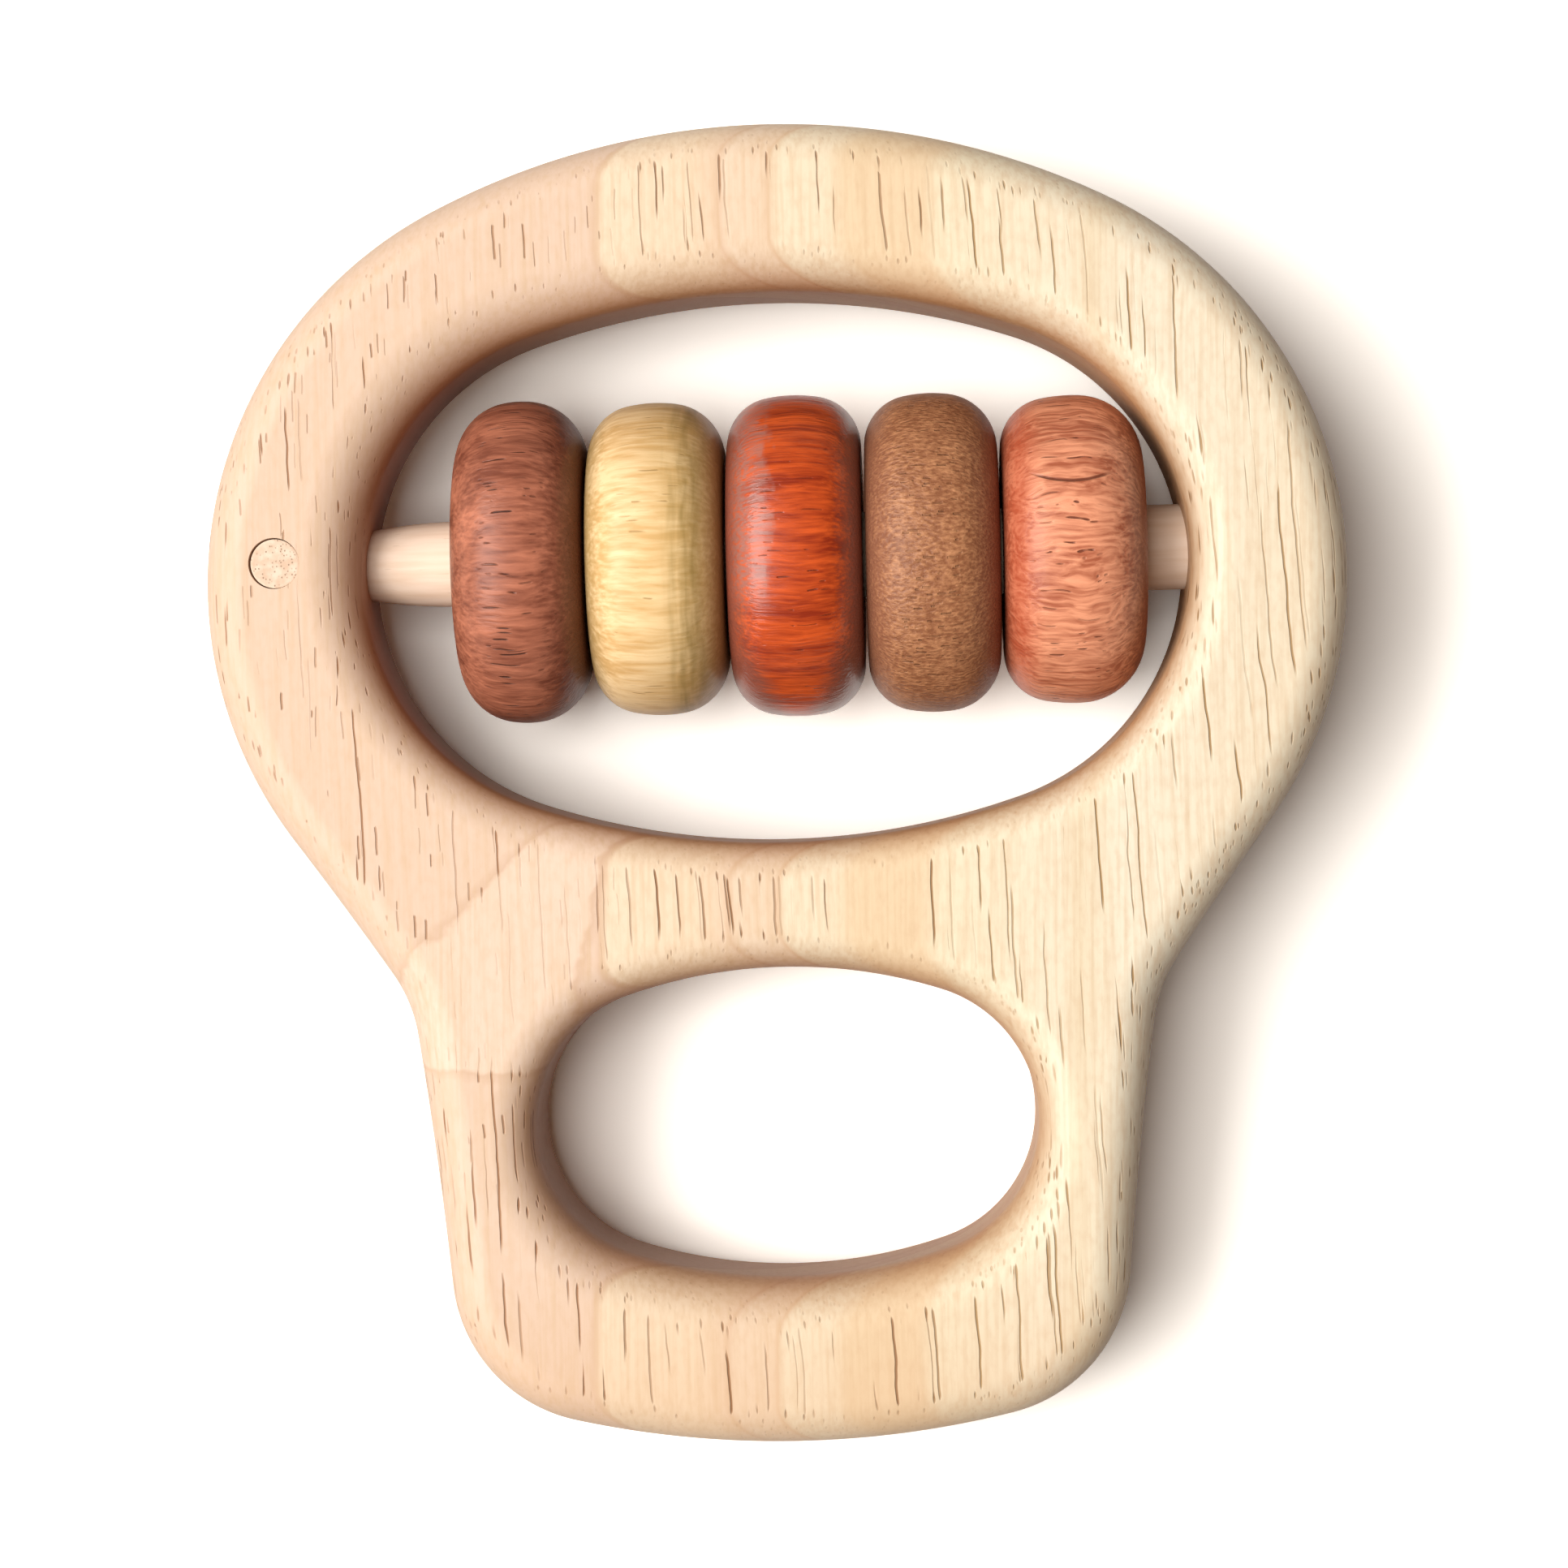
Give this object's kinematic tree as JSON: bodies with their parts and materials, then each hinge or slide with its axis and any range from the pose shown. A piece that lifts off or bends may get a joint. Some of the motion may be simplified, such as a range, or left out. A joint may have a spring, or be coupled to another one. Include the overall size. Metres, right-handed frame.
{
  "type": "wooden rattle",
  "caption": "Flat wooden baby rattle: a ring and handle cut from one board, with thick wooden beads that spin and slide on a dowel across the ring.",
  "frame": {"origin": "centre of the overall box: midway between crown and foot, on the middle of the board's thickness", "axes": "+X along the dowel, away from the lock pin; +Y from the handle towards the crown; +Z out of the face that shows the lock pin"},
  "size_m": [0.1056, 0.122, 0.0304],
  "materials": {
    "frame_wood": "sanded and oiled, matt",
    "dowel_wood": "smooth, matt",
    "pin_wood": "end grain sanded flush, matt",
    "brown_bead_wood": "polished, satin",
    "olive_bead_wood": "polished, satin",
    "orange_bead_wood": "polished, glossy",
    "walnut_bead_wood": "polished, satin",
    "salmon_bead_wood": "polished, satin"
  },
  "bodies": {
    "frame_body": {"frame": "frame_wood", "axle": "dowel_wood", "lock_pin": "pin_wood"},
    "bead_1_body": {"bead_1": "brown_bead_wood"},
    "bead_2_body": {"bead_2": "olive_bead_wood"},
    "bead_3_body": {"bead_3": "orange_bead_wood"},
    "bead_4_body": {"bead_4": "walnut_bead_wood"},
    "bead_5_body": {"bead_5": "salmon_bead_wood"}
  },
  "joints": [
    {"name": "bead_row_slide", "type": "slide", "parent": "frame_body", "child": "bead_1_body", "axis": [1, 0, 0], "range_m": [-0.0043, 0]},
    {"name": "bead_2_spin", "type": "hinge", "parent": "bead_1_body", "child": "bead_2_body", "pos_m": [0, 0.0213, 0], "axis": [1, 0, 0], "continuous": true},
    {"name": "bead_3_spin", "type": "hinge", "parent": "bead_1_body", "child": "bead_3_body", "pos_m": [0, 0.0213, 0], "axis": [1, 0, 0], "continuous": true},
    {"name": "bead_4_spin", "type": "hinge", "parent": "bead_1_body", "child": "bead_4_body", "pos_m": [0, 0.0213, 0], "axis": [1, 0, 0], "continuous": true},
    {"name": "bead_5_spin", "type": "hinge", "parent": "bead_1_body", "child": "bead_5_body", "pos_m": [0, 0.0213, 0], "axis": [1, 0, 0], "continuous": true}
  ]
}
